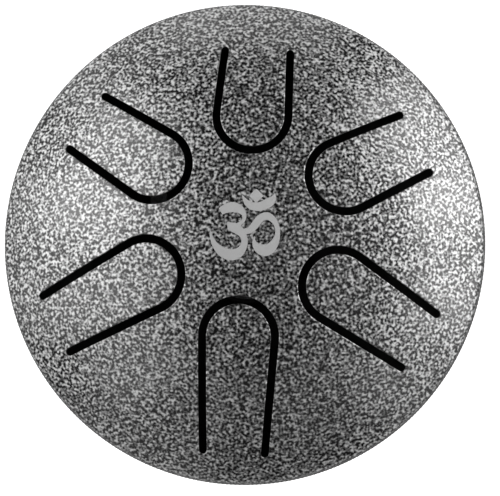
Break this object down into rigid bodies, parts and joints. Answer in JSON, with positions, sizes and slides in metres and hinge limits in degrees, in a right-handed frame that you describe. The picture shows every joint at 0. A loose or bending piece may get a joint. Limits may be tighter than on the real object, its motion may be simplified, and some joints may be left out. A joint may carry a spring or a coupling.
{
  "type": "steel tongue drum",
  "caption": "Round steel tongue drum: welded pressed bowls, U-cut tongues in the domed top that ring when struck, a sound hole and rubber feet below.",
  "frame": {"origin": "on the table under the drum's axis, at the centre of the bounding box's bottom", "axes": "+Z up through the crown; -Y to the player, where the longest tongue points; +X to the player's right, so that the picture's up is +Y"},
  "size_m": [0.152, 0.152, 0.0769],
  "materials": {
    "speckle_coat": "powder coat over steel, fine silver vein speckle on black, semi-gloss",
    "sign_grey": "flat plain grey",
    "rubber": "moulded, matte",
    "zinc_steel": "zinc plated, satin"
  },
  "bodies": {
    "drum_shell": {"top_shell": "speckle_coat", "centre_sign": "sign_grey", "rim_weld": "speckle_coat", "bottom_shell": "speckle_coat", "rubber_foot_1": "rubber", "rubber_foot_2": "rubber", "rubber_foot_3": "rubber", "foot_washer_1": "zinc_steel", "foot_washer_2": "zinc_steel", "foot_washer_3": "zinc_steel", "foot_screw_1": "zinc_steel", "foot_screw_2": "zinc_steel", "foot_screw_3": "zinc_steel", "foot_nut_1": "zinc_steel", "foot_nut_2": "zinc_steel", "foot_nut_3": "zinc_steel"},
    "tongue_1": {"tongue_1": "speckle_coat"},
    "tongue_2": {"tongue_2": "speckle_coat"},
    "tongue_3": {"tongue_3": "speckle_coat"},
    "tongue_4": {"tongue_4": "speckle_coat"},
    "tongue_5": {"tongue_5": "speckle_coat"},
    "tongue_6": {"tongue_6": "speckle_coat"}
  },
  "joints": [
    {"name": "tongue_1_flex", "type": "hinge", "parent": "drum_shell", "child": "tongue_1", "pos_m": [-0.00245, -0.06487, 0.05847], "axis": [-0.9981, 0.061, 0], "range_deg": [-0.75, 0.75], "stiffness_Nm_per_rad": 67},
    {"name": "tongue_2_flex", "type": "hinge", "parent": "drum_shell", "child": "tongue_2", "pos_m": [-0.05736, -0.02562, 0.05966], "axis": [-0.4462, 0.8949, 0], "range_deg": [-0.75, 0.75], "stiffness_Nm_per_rad": 72},
    {"name": "tongue_3_flex", "type": "hinge", "parent": "drum_shell", "child": "tongue_3", "pos_m": [0.0542, -0.03087, 0.05991], "axis": [-0.5519, -0.8339, 0], "range_deg": [-0.75, 0.75], "stiffness_Nm_per_rad": 79},
    {"name": "tongue_4_flex", "type": "hinge", "parent": "drum_shell", "child": "tongue_4", "pos_m": [-0.04792, 0.03673, 0.06099], "axis": [0.5519, 0.8339, 0], "range_deg": [-0.75, 0.75], "stiffness_Nm_per_rad": 86},
    {"name": "tongue_5_flex", "type": "hinge", "parent": "drum_shell", "child": "tongue_5", "pos_m": [0.05318, 0.02949, 0.06076], "axis": [0.4462, -0.8949, 0], "range_deg": [-0.75, 0.75], "stiffness_Nm_per_rad": 92},
    {"name": "tongue_6_flex", "type": "hinge", "parent": "drum_shell", "child": "tongue_6", "pos_m": [0.00508, 0.05824, 0.06198], "axis": [0.9981, -0.061, 0], "range_deg": [-0.75, 0.75], "stiffness_Nm_per_rad": 102}
  ]
}
